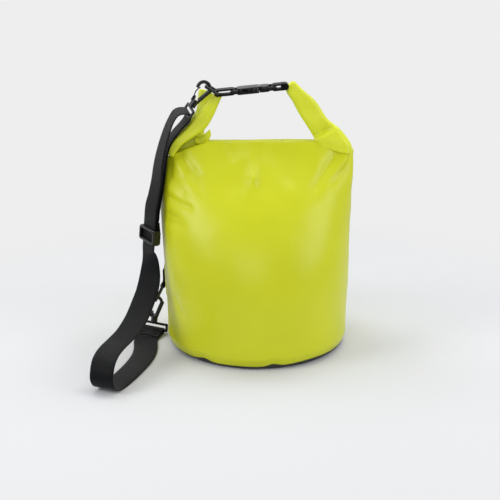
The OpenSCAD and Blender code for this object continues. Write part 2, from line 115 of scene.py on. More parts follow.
def add(tree, kind, inputs=None, **settings):
    """Adds a node with its settings, and sets or links its inputs."""
    node = tree.nodes.new("ShaderNode" + kind)
    for name, value in settings.items():
        setattr(node, name, value)
    for name, value in (inputs or {}).items():
        if isinstance(value, bpy.types.NodeSocket):
            tree.links.new(value, node.inputs[name])
        else:
            node.inputs[name].default_value = value
    return node


def material(name, detail, surface):
    """A material with the surface's even values, and the detail that its own function adds."""
    made = bpy.data.materials.new(name)
    made.use_nodes = True
    tree = made.node_tree
    tree.nodes.clear()
    shader = add(tree, "BsdfPrincipled", surface)
    add(tree, "OutputMaterial", {"Surface": shader.outputs["BSDF"]})
    detail(tree, shader)
    return made


def coated_fabric(tree, shader, light, dark):
    """Calendered PVC over a woven scrim: a smooth satin skin, faintly uneven in tone, through which the scrim shows."""
    uv = add(tree, "TexCoord").outputs["UV"]
    tone = add(tree, "TexNoise", {"Vector": uv, "Scale": 1 / FABRIC_TONE, "Detail": 3})
    colour = add(tree, "Mix", {0: tone.outputs["Fac"], 6: light, 7: dark}, data_type="RGBA")
    tree.links.new(colour.outputs[2], shader.inputs["Base Color"])
    gloss = add(tree, "TexNoise", {"Vector": uv, "Scale": 1 / FABRIC_GLOSS, "Detail": 2})
    spread = add(tree, "MapRange", {"Value": gloss.outputs["Fac"], "To Min": 0.3, "To Max": 0.4})
    tree.links.new(spread.outputs["Result"], shader.inputs["Roughness"])
    threads = [add(tree, "TexWave", {"Vector": uv, "Scale": WAVE_BAND / SCRIM_PITCH}, bands_direction=d)
               for d in ("X", "Y")]
    weave = add(tree, "Math", {0: threads[0].outputs["Fac"], 1: threads[1].outputs["Fac"]}, operation="MULTIPLY")
    fine = add(tree, "Bump", {"Strength": 0.02, "Distance": 0.0001, "Height": weave.outputs[0]})
    dents = add(tree, "TexNoise", {"Vector": uv, "Scale": 1 / SKIN_DENT, "Detail": 1})
    soft = add(tree, "Bump", {"Strength": 0.25, "Distance": 0.0012, "Height": dents.outputs["Fac"],
                              "Normal": fine.outputs["Normal"]})
    tree.links.new(soft.outputs["Normal"], shader.inputs["Normal"])


def lime_fabric(tree, shader):
    coated_fabric(tree, shader, srgb("c6cb1c"), srgb("bcc214"))


def lime_fabric_painted_glow(tree, shader):
    """The same fabric in the loose ends of the roll, with its colour painted paler: a painted glow that stands in for
    light passing through it.
    """
    coated_fabric(tree, shader, srgb("d2d92c"), srgb("c8d020"))


def black_fabric(tree, shader):
    coated_fabric(tree, shader, srgb("242527"), srgb("1b1c1e"))


def woven(tree, shader):
    """Flat woven polyester: diagonal ribs that meet in a herringbone, a satin gloss and a slightly worn tone."""
    uv = add(tree, "TexCoord").outputs["UV"]
    parts = add(tree, "SeparateXYZ", {"Vector": uv})
    # The ribs are drawn a little coarse so that they show
    chevron = add(tree, "Math", {0: parts.outputs["X"], 1: CHEVRON_HALF}, operation="PINGPONG")
    slant = add(tree, "Math", {0: parts.outputs["Y"], 1: chevron.outputs[0]}, operation="ADD")
    turn = add(tree, "Math", {0: slant.outputs[0], 1: 2 * math.pi / RIB_PITCH}, operation="MULTIPLY")
    rib = add(tree, "Math", {0: turn.outputs[0]}, operation="SINE")
    bump = add(tree, "Bump", {"Strength": 0.3, "Distance": 0.0002, "Height": rib.outputs[0]})
    tree.links.new(bump.outputs["Normal"], shader.inputs["Normal"])
    wear = add(tree, "TexNoise", {"Vector": uv, "Scale": 1 / WEBBING_WEAR, "Detail": 4})
    colour = add(tree, "Mix", {0: wear.outputs["Fac"], 6: srgb("121315"), 7: srgb("0b0c0e")}, data_type="RGBA")
    tree.links.new(colour.outputs[2], shader.inputs["Base Color"])


def moulded_acetal(tree, shader):
    """Injection-moulded acetal: black, with the fine even grain of a spark-eroded mould and a satin gloss."""
    place = add(tree, "TexCoord").outputs["Object"]
    grain = add(tree, "TexNoise", {"Vector": place, "Scale": 1 / MOULD_GRAIN, "Detail": 2})
    bump = add(tree, "Bump", {"Strength": 0.15, "Distance": 0.0001, "Height": grain.outputs["Fac"]})
    tree.links.new(bump.outputs["Normal"], shader.inputs["Normal"])
    handling = add(tree, "TexNoise", {"Vector": place, "Scale": 1 / HANDLING, "Detail": 3})
    spread = add(tree, "MapRange", {"Value": handling.outputs["Fac"], "To Min": 0.18, "To Max": 0.3})
    tree.links.new(spread.outputs["Result"], shader.inputs["Roughness"])


def twisted_thread(tree, shader):
    """Bonded polyester thread: fine twist lines across each stitch."""
    place = add(tree, "TexCoord").outputs["Object"]
    twist = add(tree, "TexWave", {"Vector": place, "Scale": WAVE_BAND / THREAD_TWIST}, bands_direction="DIAGONAL")
    bump = add(tree, "Bump", {"Strength": 0.3, "Distance": 0.0001, "Height": twist.outputs["Fac"]})
    tree.links.new(bump.outputs["Normal"], shader.inputs["Normal"])


LIME_FABRIC = material("pvc_coated_polyester_lime", lime_fabric, {"IOR": 1.5, "Specular IOR Level": 0.36})
# A lit copy of the lime fabric for the turned-up ends: its paler colour is a painted glow of light passing through them
LIME_FABRIC_PAINTED_GLOW = material("pvc_coated_polyester_lime_painted_glow", lime_fabric_painted_glow, {"IOR": 1.5, "Specular IOR Level": 0.4})
BLACK_FABRIC = material("pvc_coated_polyester_black", black_fabric, {"IOR": 1.5})
WEBBING = material("woven_polyester_webbing_black", woven, {
    "Roughness": 0.45, "Specular IOR Level": 0.1, "Sheen Weight": 0.12, "Sheen Roughness": 0.3})
ACETAL = material("moulded_acetal_black", moulded_acetal, {"Base Color": srgb("141518"), "IOR": 1.48})
THREAD = material("bonded_polyester_thread", twisted_thread, {"Base Color": srgb("3a3b40"), "Roughness": 0.55})


# Meshes

# Vertices nearer than this, in metres, are one
DOUBLES = 1e-6


def piece(name, bm, finish, body, slot, *replaced):
    """Turns a finished bmesh into a piece that rides on a body and stands for CAD nodes."""
    mesh = bpy.data.meshes.new(name)
    bm.to_mesh(mesh)
    bm.free()
    mesh.shade_smooth()
    made = bpy.data.objects.new(name, mesh)
    bpy.context.scene.collection.objects.link(made)
    made.data.materials.append(finish)
    if body:
        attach(made, body)
    if replaced:
        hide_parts(*replaced)
    return made


def unrolled(rows):
    """Metres across and up for a grid of rows, measured along its middle row and first column."""
    def runs(points):
        total = [0.0]
        for a, b in zip(points, points[1:]):
            total.append(total[-1] + (b - a).length * MM)
        return total
    middle = rows[len(rows) // 2]
    across, up = runs(middle + middle[:1]), runs([row[0] for row in rows])
    return lambda i, j: (across[i], up[j])


def lofted(rows, loop=False, uv=None):
    """A grid of quads through rows of points in mm; loop closes each row, and uv gives metres for a column and row."""
    if uv is None:
        uv = unrolled(rows)
    across = len(rows[0]) - (0 if loop else 1)
    up = len(rows) - 1
    bm = bmesh.new()
    bmesh.ops.create_grid(bm, x_segments=across, y_segments=up, size=0.5)
    layer = bm.loops.layers.uv.new("UVMap")
    cell = {v: (round((v.co.x + 0.5) * across), round((v.co.y + 0.5) * up)) for v in bm.verts}
    for face in bm.faces:
        for corner in face.loops:
            i, j = cell[corner.vert]
            corner[layer].uv = uv(i, j)
    for v, (i, j) in cell.items():
        v.co = rows[j][i % len(rows[0])] * MM
    if loop:
        bmesh.ops.remove_doubles(bm, verts=bm.verts, dist=DOUBLES)
    return bm


def close_ends(bm):
    bmesh.ops.holes_fill(bm, edges=[e for e in bm.edges if e.is_boundary], sides=0)
    bmesh.ops.recalc_face_normals(bm, faces=bm.faces)
    return bm


# Straps and other webbing

# In mm: the strap's width and thickness, the thickness of the lower loops and of the buckle's loops, the radius of the
# bars that they turn round, the clearance there and between two layers, and how far thread stands out
STRAP_W = 36
STRAP_T = 1.8
TAB_T = 1.6
LOOP_T = 2.6
BAR_R = 2
SEAT = 0.3
LAYER_GAP = 0.05
THREAD_LIFT = 0.1

# Route of the strap as in the solids: x, y, z, turn of the width about the vertical, and rise where it isn't level
STRAP_ROUTE = [
    (-168.15, -10.3, 4.2, 78, -0.12), (-169.6, -17, 3.5, 78, -0.12), (-170, -26, 2.4, 80, -0.05),
    (-168.6, -38, 1.6, 83), (-167, -58, 1.2, 84),
    (-168, -84, 1.2, 80), (-173, -112, 1.2, 76), (-180, -138, 1.2, 73), (-187.5, -162, 1.2, 70),
    (-195, -182, 1.2, 68), (-201.5, -197, 2.8, 67), (-206.5, -208, 9, 67), (-209, -212, 20, 67),
    (-208.5, -209, 31, 67), (-207, -200, 41, 67), (-204, -186, 47, 68), (-199, -168, 50, 70),
    (-192, -148, 52, 72), (-182, -123, 57, 74), (-173, -97, 68, 74), (-166, -74, 83, 72),
    (-161, -58, 97, 68), (-158.6, -45, 113, 60), (-158.6, -36, 130, 47), (-160.5, -30, 143, 36),
    (-161.1, -29, 150, 33), (-160.2, -29, 160.2, 33), (-159.2, -29, 172, 33), (-158.2, -29, 183.5, 33),
    (-157.1, -29, 196, 33), (-156.1, -29, 207, 33), (-154.8, -27.9, 217, 32), (-151, -24, 232, 30),
    (-147.8, -17, 250, 28), (-144.8, -11, 274, 25), (-139.5, -7, 298, 22), (-132.5, -4, 320, 20),
    (-125.5, -3, 337, 18), (-117.8, -1, 347.9, 16, -0.11), (-109.2, 1.5, 350.6, 15, -0.15),
]
RETURN_ROUTE = [
    (-103.2, 5.2, 337.7, 15, -0.11), (-110.5, 5.2, 329.5, 16), (-119, 4.5, 320, 17), (-127, 3.3, 309.5, 18),
    (-133, 1.4, 299, 20), (-137, -0.8, 287, 22), (-140.5, -4.5, 270, 25), (-143.5, -9.5, 252, 28),
    (-147, -15.8, 234, 31), (-150.4, -22.4, 217, 33), (-151.8, -25.7, 207, 33), (-152.6, -26.1, 198.4, 33),
]

# Frame of the upper eye: its place, lean and turn
TOP_EYE_AT = Vector((-95.5, 4, 356.2))
TOP_EYE_LEAN = math.radians(34)
TOP_EYE_TURN = math.radians(17)
EYE_BAR_DROP = 12
EYE_X = Vector((math.cos(TOP_EYE_TURN) * math.cos(TOP_EYE_LEAN), math.sin(TOP_EYE_TURN),
                -math.cos(TOP_EYE_TURN) * math.sin(TOP_EYE_LEAN)))
EYE_Z = Vector((math.sin(TOP_EYE_LEAN), 0, math.cos(TOP_EYE_LEAN)))
EYE_ACROSS = EYE_X.cross(EYE_Z)


def eye_turn(degrees):
    """Point and width direction of the strap where it turns round the upper eye's lower bar."""
    a = math.radians(degrees)
    bar = TOP_EYE_AT - EYE_Z * EYE_BAR_DROP
    at = bar + (EYE_X * math.cos(a) + EYE_Z * math.sin(a)) * (BAR_R + SEAT + STRAP_T / 2)
    return (*at, math.degrees(math.atan2(EYE_ACROSS.x, -EYE_ACROSS.y)), EYE_ACROSS.z)


def finer(route, steps):
    """Points along a smooth curve through the route, and the strap's width direction at each."""
    full = [Vector((*p, 0)) if len(p) == 4 else Vector(p) for p in route]
    full = [full[0] * 2 - full[1]] + full + [full[-1] * 2 - full[-2]]
    samples = []
    for a, b, c, d in zip(full, full[1:], full[2:], full[3:]):
        # Knots by the square root of each gap keep the curve from swinging wide beside a short step
        gaps = [math.sqrt(Vector((q - p)[:3]).length) for p, q in ((a, b), (b, c), (c, d))]
        t1, t2, t3 = gaps[0], gaps[0] + gaps[1], sum(gaps)
        for k in range(steps):
            t = mix(t1, t2, k / steps)
            ab, bc, cd = mix(a, b, t / t1), mix(b, c, (t - t1) / (t2 - t1)), mix(c, d, (t - t2) / (t3 - t2))
            samples.append(mix(mix(ab, bc, t / t2), mix(bc, cd, (t - t1) / (t3 - t1)), (t - t1) / (t2 - t1)))
    samples.append(full[-2])
    path = [Vector(s[:3]) for s in samples]
    across = [Vector((math.sin(math.radians(s[3])), -math.cos(math.radians(s[3])), s[4])) for s in samples]
    return path, across


def webbing_section(width, thick):
    """Outline of a flat woven strap with soft edges, as points across and up."""
    half, t = width / 2, thick / 2
    flat = [mix(-half + t, half - t, k / 8) for k in range(9)]
    edge = [(half - t + t * math.sin(a), t * math.cos(a)) for a in (math.pi * 0.25, math.pi * 0.5, math.pi * 0.75)]
    return ([(x, t) for x in flat] + edge + [(x, -t) for x in reversed(flat)]
            + [(-x, y) for x, y in reversed(edge)])


def webbing(path, across, width, thick, ring=False):
    """A woven strap along a path in mm; across gives the direction of its width, and ring joins its two ends."""
    section = webbing_section(width, thick)
    count = len(path)
    rows, run = [], [0.0]
    for i, at in enumerate(path):
        before = path[i - 1] if ring or i else at
        after = path[(i + 1) % count] if ring or i < count - 1 else at
        forward = (after - before).normalized()
        side = (across[i] - forward * across[i].dot(forward)).normalized()
        up = forward.cross(side)
        rows.append([at + side * x + up * y for x, y in section])
        run.append(run[-1] + (after - at).length)
    if ring:
        rows.append(rows[0])
    bm = lofted(rows, loop=True, uv=lambda i, j: (section[i % len(section)][0] * MM, run[min(j, len(run) - 1)] * MM))
    if ring:
        bmesh.ops.remove_doubles(bm, verts=bm.verts, dist=DOUBLES)
        bmesh.ops.recalc_face_normals(bm, faces=bm.faces)
        return bm
    return close_ends(bm)


STITCH_L = 3.0
STITCH_T = 0.8
STITCH_PITCH = STITCH_L * 1.25


def stitched_box(name, corners, out, body):
    """Thread sewn round a box and across it: the box's corners in order, and the face's outward direction."""
    a, b, c, d = corners
    bm = bmesh.new()
    for start, end in ((a, b), (b, c), (c, d), (d, a), (a, c), (b, d)):
        run = end - start
        count = max(1, round(run.length / STITCH_PITCH))
        forward = run.normalized()
        side = out.cross(forward).normalized()
        turn = Matrix((forward, side, forward.cross(side))).transposed().to_4x4()
        for k in range(count):
            at = start + run * ((k + 0.5) / count)
            shape = Matrix.Diagonal((STITCH_L / 2, STITCH_T / 2, STITCH_T / 2, 1))
            bmesh.ops.create_icosphere(
                bm, subdivisions=1, radius=1, matrix=Matrix.Scale(MM, 4) @ Matrix.Translation(at) @ turn @ shape)
    return piece(name, bm, THREAD, body, "webbing")


def sewn_loop(bar, out, up, across, length, layer):
    """Path of a strap end that comes to a bar on one side, turns round it and is sewn back on itself."""
    clear = BAR_R + SEAT + layer
    ends = [(mix(length, 2, k / 8), mix(layer, clear, ease(k / 7))) for k in range(9)]
    come = [bar + up * h + out * d for h, d in ends]
    turn = [bar + (out * math.cos(math.radians(a)) - up * math.sin(math.radians(a))) * clear
            for a in range(0, 181, 15)]
    back = [bar + up * h - out * d for h, d in reversed(ends)]
    path = come + turn + back
    return path, [across] * len(path)


# The strap's long run, from the sewn end at the lower eye, over the floor and through the slider, to the upper eye
ROUTE_STEPS = 5
main_path, main_across = finer(STRAP_ROUTE + [eye_turn(a) for a in (110, 80, 55, 30, 6)], ROUTE_STEPS)
strap_main = piece("strap_main_run", webbing(main_path, main_across, STRAP_W, STRAP_T), WEBBING, "bag", "webbing",
                   "strap_main")

# The strap's return run, from the upper eye down to its sewn loop round the slider's centre bar
UP = Vector((0, 0, 1))
SLIDER = Matrix.Rotation(math.radians(5), 3, "Y") @ Matrix.Rotation(math.radians(33 - 90), 3, "Z")
SLIDER_ACROSS, SLIDER_BACK, SLIDER_UP = SLIDER.transposed()
SLIDER_BAR = Vector((-159.2, -29, 172)) + SLIDER_BACK * 5.1
SLIDER_LOOP = 22
return_path, return_across = finer([eye_turn(-6)] + RETURN_ROUTE, ROUTE_STEPS)
loop_path, loop_across = sewn_loop(SLIDER_BAR, -SLIDER_BACK, SLIDER_UP, SLIDER_ACROSS, SLIDER_LOOP,
                                   STRAP_T / 2 + LAYER_GAP)
return_path, return_across = return_path + loop_path, return_across + loop_across
strap_return = piece("strap_return_run", webbing(return_path, return_across, STRAP_W, STRAP_T), WEBBING, None,
                     "webbing", "strap_return", "strap_slider_end")
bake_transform(strap_return)

# The sewn loop round the lower eye, which stands beside the bag where the lower ring hangs
RING_SIDE = Matrix.Rotation(math.radians(-5.625), 4, "Z")
LOWER_EYE_LEAN = math.radians(7)
LOWER_LOOP = 26
lower_end = (RING_SIDE @ Matrix.Translation((-161.503, 0, 19)) @ Matrix.Rotation(LOWER_EYE_LEAN, 4, "Y")
             @ Matrix.Rotation(math.radians(83.625), 4, "Z") @ Matrix.Translation((0, 0, -EYE_BAR_DROP))
             @ Matrix.Rotation(-LOWER_EYE_LEAN, 4, "Y"))
turn = lower_end.to_3x3()
low_path, low_across = sewn_loop(lower_end.translation, turn @ UP, turn @ Vector((-1, 0, 0)),
                                 turn @ Vector((0, 1, 0)), LOWER_LOOP, TAB_T / 2 + LAYER_GAP)
piece("strap_lower_loop", webbing(low_path, low_across, STRAP_W, TAB_T), WEBBING, "bag", "webbing",
      "strap_lower_end")
# Its stitches lie between a half and four steps along the loop's first run
low_corners = [mix(low_path[int(k)], low_path[math.ceil(k)], k % 1) + turn @ Vector((0, y, TAB_T / 2 + THREAD_LIFT))
               for k, y in ((0.5, -14), (0.5, 14), (4, 14), (4, -14))]
stitched_box("strap_lower_stitches", low_corners, turn @ UP, "bag")


# The bag's fabric body

FOLD_Z = 306
# The fold falls away to a corner on each side: where it starts, the corner, how far it drops and how curved it is
FOLD_LEFT = (-73, -129, 21, 1.3)
FOLD_RIGHT = (89, 142, 13, 1.0)
WALL_T = 1.2
TOP_SHIFT = 4
TOP_HALF_W = 137
BASE_R = 136.5
BAG_W = 282
# Heights: rim of the base, end of the round part, start of the straight part, where the curve would close, and top of
# the back
RIM_Z = 3
ROUND_Z = 88.5
STRAIGHT_Z = 250
WALL_TOP_Z = 288
BACK_TOP_Z = 290
# Half the depth at the mouth: of the curve, and of the wall in front and at the back
MOUTH_DEPTH = 12
FRONT_DEPTH = 9
BACK_DEPTH = 12
# The hem: its height, how much higher the front and the front's right side are, and how far it is tucked in
HEM_Z = 4
HEM_FRONT = 2
HEM_RIGHT = 2.5
HEM_TUCK = 3.5
# Slack fabric: length and height of its long and its short waves
LONG_WAVE = (62, 2.2)
SHORT_WAVE = (27, 0.7)
BACK_SLACK = 1.5
# How far the wall draws in at its shoulders, and how far the bag leans to the left at half height
SHOULDER_IN = 4
LEAN_LEFT = 2

# Pinches of the hem: place along X on the front and how far the hem is lifted there
PINCHES = [(-79, 3.2), (23, 3.0)]
PINCH_HALF_W = 11

# Creases of the front: points across and up, half width on the left and right side going along it, depth, and
# sharpness: 1 is a crisp fold and 2 a soft dent
CREASES = [
    ([(20, 304), (26, 284)], 7, 7, 1.6, 1.6),
    ([(-112, 288), (-86, 262)], 8, 8, 3.0, 1.5),
    ([(-130, 262), (-108, 240)], 8, 8, 3.0, 1.5),
    ([(-130, 232), (-114, 226), (-98, 222)], 6, 5, 4.0, 1.3),
    ([(-136, 208), (-118, 205)], 5, 5, 3.2, 1.3),
    ([(-134, 198), (-112, 196)], 5, 5, 2.6, 1.3),
    ([(134, 272), (112, 254)], 8, 8, 3.0, 1.5),
    ([(112, 284), (84, 250)], 8, 9, 3.0, 1.5),
    ([(-120, 86), (-110, 66)], 6, 6, 2.0, 1.5),
    ([(62, 300), (46, 262)], 12, 9, 2.0, 2),
]

# Flat-sided dents and, with a depth below 0, ridges: deepest point, end where it dies away, half width at the deepest
# point on its left and right going along it, and depth
FACETS = [
    ((-33, 310), (-40, 279), 44, 20, 11.0),
    ((-5, 262), (13, 304), 16, 11, -5.0),
    ((-5, 262), (0, 226), 11, 16, -5.0),
    ((-117, 278), (-92, 248), 11, 12, -4.5),
    ((129, 283), (102, 254), 12, 11, -4.5),
    ((-98, 268), (-74, 236), 13, 16, 3.0),
    ((104, 276), (78, 242), 16, 13, 3.0),
]
FACET_SOFTNESS = 0.45


def fold_height(x):
    start, corner, drop, curve = FOLD_LEFT if x < 0 else FOLD_RIGHT
    return FOLD_Z - drop * max(0, (x - start) / (corner - start)) ** curve


def hem_height(x, front):
    """The hem stands higher on the right, and is lifted where the wall is pinched against the base."""
    lift = sum(rise * math.exp(-((x - at) / PINCH_HALF_W) ** 2) for at, rise in PINCHES)
    # Towards the sides the front hem comes down to the back one
    side = ease(math.sqrt(max(0, 1 - (x / BASE_R) ** 2)) / 0.4)
    return HEM_Z + ((HEM_FRONT + HEM_RIGHT * ease((x - 5) / 90) + lift) * side if front else 0)


def half_width(z):
    share = (z - RIM_Z) / (WALL_TOP_Z - RIM_Z)
    return mix(2 * BASE_R, BAG_W, ease((share - 0.1) / 0.6)) / 2 - SHOULDER_IN * ease((share - 0.85) / 0.15)


def sway(z):
    """Sideways lean of the bag: a little to the left at half height, and to the right at the mouth."""
    lean = LEAN_LEFT * ease((z - 90) / 90) * (1 - ease((z - 235) / 35))
    return TOP_SHIFT * ((z - RIM_Z) / (WALL_TOP_Z - RIM_Z)) ** 8 - lean


def half_depth(z, top, least):
    """Half the depth at a height: round at the base, then flattening, then straight up to the fold."""
    u = max(0, (min(z, STRAIGHT_Z) - ROUND_Z) / (WALL_TOP_Z - ROUND_Z))
    curved = mix(MOUTH_DEPTH, BASE_R, (1 - u ** 2.2) ** 0.9)
    return mix(curved, least, min(1, max(0, (z - STRAIGHT_Z) / (top - STRAIGHT_Z))))


def crease_depth(x, z):
    """How far the front is pressed in by its creases at a place across and up."""
    total = 0
    for line, left, right, depth, sharpness in CREASES:
        best = None
        for (ax, az), (bx, bz) in zip(line, line[1:]):
            dx, dz = bx - ax, bz - az
            t = ((x - ax) * dx + (z - az) * dz) / (dx * dx + dz * dz)
            c = min(1, max(0, t))
            away = math.hypot(x - ax - c * dx, z - az - c * dz)
            if best is None or away < best[0]:
                side = dx * (z - az) - dz * (x - ax)
                best = (away, left if side < 0 else right)
        total += depth * math.exp(-(best[0] / best[1]) ** sharpness)
    for (ax, az), (bx, bz), left, right, depth in FACETS:
        dx, dz = bx - ax, bz - az
        long = math.hypot(dx, dz)
        along = ((x - ax) * dx + (z - az) * dz) / long / long
        away = (dx * (z - az) - dz * (x - ax)) / long
        level = abs(depth) * (1 - abs(along) - abs(away) / (left if away > 0 else right)) / FACET_SOFTNESS
        # A soft step from 0 outside the facet to its slope inside
        total += math.copysign(FACET_SOFTNESS, depth) * (level if level > 30 else math.log1p(math.exp(level)))
    return total


def wall_ends(c, front):
    """Heights of the hem and the fold, for the cosine of an angle about the vertical."""
    return hem_height(BASE_R * c, front), fold_height(TOP_SHIFT + TOP_HALF_W * c)


def body_point(angle, share):
    """Point of the bag's wall at an angle about the vertical, from the hem, 0, to the fold, 1."""
    c, s = math.cos(angle), math.sin(angle)
    front = s < 0
    foot, top = wall_ends(c, front)
    z = mix(foot, top, share)
    deep = half_depth(z, top, FRONT_DEPTH) if front else half_depth(z, min(top, BACK_TOP_Z), BACK_DEPTH)
    tuck = HEM_TUCK * (1 - ease((z - foot) / 12))
    x = sway(z) + (half_width(z) - tuck) * c
    y = (deep - tuck) * s
    # Slack fabric waves more towards the mouth, and stays still at the fold itself
    slack = (0.25 + ease((z - 150) / 110)) * (1 - 0.8 * ease((share - 0.93) / 0.07))
    slack *= 1 if front else BACK_SLACK
    wave = sum(high * noise.noise(Vector((x, y, z)) / long) for long, high in (LONG_WAVE, SHORT_WAVE))
    inward = wave * slack + (crease_depth(x, z) * (1 - ease((abs(c) - 0.9) / 0.07)) if front else 0)
    for at, rise in PINCHES:
        if front:
            inward += 0.45 * rise * math.exp(-((BASE_R * c - at) / 8) ** 2 - ((z - foot) / 16) ** 2)
    out = Vector((c / half_width(z), s / max(MOUTH_DEPTH, deep), 0.004 * ease((z - 200) / 80))).normalized()
    return Vector((x, y, z)) - out * inward


AROUND, UPWARD = 240, 130
angles = [2 * math.pi * (i / AROUND) + math.pi / 2 for i in range(AROUND)]
hem = [body_point(a, 0) for a in angles]
lip = [Vector((p.x * (1 - WALL_T / BASE_R), p.y * (1 - WALL_T / BASE_R), p.z)) for p in hem]
HEM_TURN = 6
wall = [[p + UP * HEM_TURN for p in lip], lip]
wall += [[body_point(a, j / UPWARD) for a in angles] for j in range(UPWARD + 1)]
# The wall closes on the roll, and behind the left corner it opens into a pocket under the turned-up end
CLOSED_Y = 11
POCKET_X = -74
POCKET_DROP = 16
wall.append([Vector((p.x, CLOSED_Y, p.z + 0.8 - POCKET_DROP * ease((POCKET_X - p.x) / 10))) for p in wall[-1]])
# Metres round and up the wall, for the pattern of its fabric
WALL_ROUND = 2 * math.pi * BASE_R * MM
WALL_UP = 0.33
bm = lofted(wall, loop=True, uv=lambda i, j: (i / AROUND * WALL_ROUND, j / UPWARD * WALL_UP))
bmesh.ops.recalc_face_normals(bm, faces=bm.faces)
piece("bag_body", bm, LIME_FABRIC, "bag", "coated_fabric", "bag_wall")


def on_wall(angle, z, off):
    """Point at a height on the bag's wall, lifted off it."""
    foot, top = wall_ends(math.cos(angle), math.sin(angle) < 0)
    p = body_point(angle, (z - foot) / (top - foot))
    return p + Vector((math.cos(angle), math.sin(angle), 0)) * off


PATCH_EDGE = 0.1


def wall_patch(angle0, angle1, z0, z1, thick, columns, rows, corner):
    """A thin piece welded on the wall, with rounded corners and an edge that closes on the wall."""
    def place(i, j, off):
        a, b = mix(-1, 1, i / columns), mix(-1, 1, j / rows)
        wide, high = (angle1 - angle0) * BASE_R / 2, (z1 - z0) / 2
        over = max(0, abs(b) * high - (high - corner))
        reach = wide - corner + math.sqrt(max(0, corner ** 2 - over ** 2))
        return on_wall((angle0 + angle1) / 2 + a * reach / BASE_R, (z0 + z1) / 2 + b * high, off)
    bm = lofted([[place(i, j, thick if 0 < i < columns and 0 < j < rows else PATCH_EDGE) for i in range(columns + 1)]
                 for j in range(rows + 1)])
    bmesh.ops.recalc_face_normals(bm, faces=bm.faces)
    return bm


SEAM_HALF = 0.095
seam_tape = wall_patch(math.pi / 2 - SEAM_HALF, math.pi / 2 + SEAM_HALF, z0=4.5, z1=286, thick=0.9, columns=8, rows=90,
                       corner=1)
piece("seam_tape", seam_tape, LIME_FABRIC, "bag", "coated_fabric", "back_seam")
ring_patch = wall_patch(math.radians(163), math.radians(185.5), z0=70, z1=121, thick=1.3, columns=20, rows=20, corner=8)
piece("ring_patch", ring_patch, LIME_FABRIC, "bag", "coated_fabric", "lower_patch")

# The base: a flat panel with a rounded rim that is welded inside the wall, as radius and height
BASE_PROFILE = [
    (0, 0.4), (60, 0.4), (110, 0.3), (121, 0.2), (126.5, 0.9), (129.6, 2.6), (131, 5), (131.4, 9), (131.4, 20),
    (130.2, 20), (130.2, 8), (128, 3.4), (120, 1.6), (60, 1.6), (0, 1.6),
]
bm = bmesh.new()
profile = [bm.verts.new((r * MM, 0, z * MM)) for r, z in BASE_PROFILE]
edges = [bm.edges.new(pair) for pair in zip(profile, profile[1:])]
bmesh.ops.spin(bm, geom=profile + edges, axis=UP, cent=(0, 0, 0), angle=2 * math.pi, steps=128, use_merge=True)
bmesh.ops.remove_doubles(bm, verts=bm.verts, dist=DOUBLES)
bmesh.ops.recalc_face_normals(bm, faces=bm.faces)
layer = bm.loops.layers.uv.new("UVMap")
for face in bm.faces:
    for corner in face.loops:
        corner[layer].uv = corner.vert.co.xy
piece("base_panel_round", bm, BLACK_FABRIC, "bag", "base_fabric", "base_panel")

# The rolled middle of the mouth: one flattened tube of fabric wound a little over two turns, whose ends bend up
# into the turned-up ends
ROLL_TURNS = 2.15
ROLL_LEFT, ROLL_RIGHT = -92, 106
# Length of each bent end, and how far it comes forward, rises and thins
ROLL_BEND = 22
BEND_FORWARD, BEND_RISE, BEND_THIN = 3, 9, 0.3
ROLL_Y, ROLL_Z = 12, 296.8
ROLL_OUTER, ROLL_INNER = 9.4, 2.6
ROLL_FLAT = 0.95
ROLL_START = math.radians(100)
ROLL_ALONG, ROLL_ROUND = 80, 72
ROLL_LAYER = 1.5
roll_rows = []
for i in range(ROLL_ALONG + 1):
    x = mix(ROLL_LEFT, ROLL_RIGHT, i / ROLL_ALONG)
    bend = ease((ROLL_LEFT + ROLL_BEND - x) / ROLL_BEND) if x < 0 else ease((x - ROLL_RIGHT + ROLL_BEND) / ROLL_BEND)
    y = ROLL_Y - BEND_FORWARD * bend + 0.8 * math.sin(x / 23)
    z = ROLL_Z + BEND_RISE * bend + 0.5 * math.sin(x / 31)
    row = []
    for k in range(ROLL_ROUND + 1):
        a = ROLL_START - 2 * math.pi * ROLL_TURNS * k / ROLL_ROUND
        r = mix(ROLL_OUTER, ROLL_INNER, k / ROLL_ROUND) * (1 - BEND_THIN * bend)
        row.append(Vector((x, y + ROLL_FLAT * r * math.cos(a), z + r * math.sin(a))))
    roll_rows.append(row)
rolled = piece("mouth_roll", lofted(roll_rows), LIME_FABRIC, "bag", "coated_fabric", "rolled_mouth")
layers = rolled.modifiers.new("fabric_thickness", "SOLIDIFY")
layers.thickness = ROLL_LAYER * MM
layers.offset = 0


# The turned-up ends of the roll

def ear_rows(edges, depth, sharp, count, around, pleats):
    """Sections between an outer and an inner edge: edges are pairs of points, depth half the depth at each pair, and
    pleats the number, the relative height, the place and the twist of the folds that run along the piece."""
    number, height, place, twist = pleats
    rows = []
    for j in range(count + 1):
        t = j / count
        a = along_table([Vector(e[0]) for e in edges], t)
        b = along_table([Vector(e[1]) for e in edges], t)
        d = along_table(depth, t)
        row = []
        for k in range(around):
            turn = 2 * math.pi * k / around
            c, s = math.cos(turn), math.sin(turn)
            swell = 1 - height * math.sin((number * turn + place + twist * t) / 2) ** 2
            across = math.copysign(abs(c) ** sharp, c) * mix(1, swell, 0.3)
            back = math.copysign(abs(s) ** sharp, s) * swell
            row.append((a + b) / 2 + (a - b) / 2 * across + Vector((0, d * back, 0)))
        rows.append(row)
    return rounded_end(rows[1::-1])[:1:-1] + rows + rounded_end(rows[-2:])[2:]


# Steps past the end of a tube in mm, and its size at each
END_STEPS = [(1.6, 0.9), (2.8, 0.7), (3.4, 0.4)]


def rounded_end(rows):
    """The last two rows of a tube, and three more that draw its end together."""
    before, end = (sum(row, Vector()) / len(row) for row in rows)
    forward = (end - before).normalized()
    return rows + [[end + forward * step + (p - end) * size for p in rows[-1]] for step, size in END_STEPS]


# Shifts that make the folds of each direction differ from those of the others
FOLDS_Y, FOLDS_Z = Vector((9, 3, 5)), Vector((4, 7, 1))


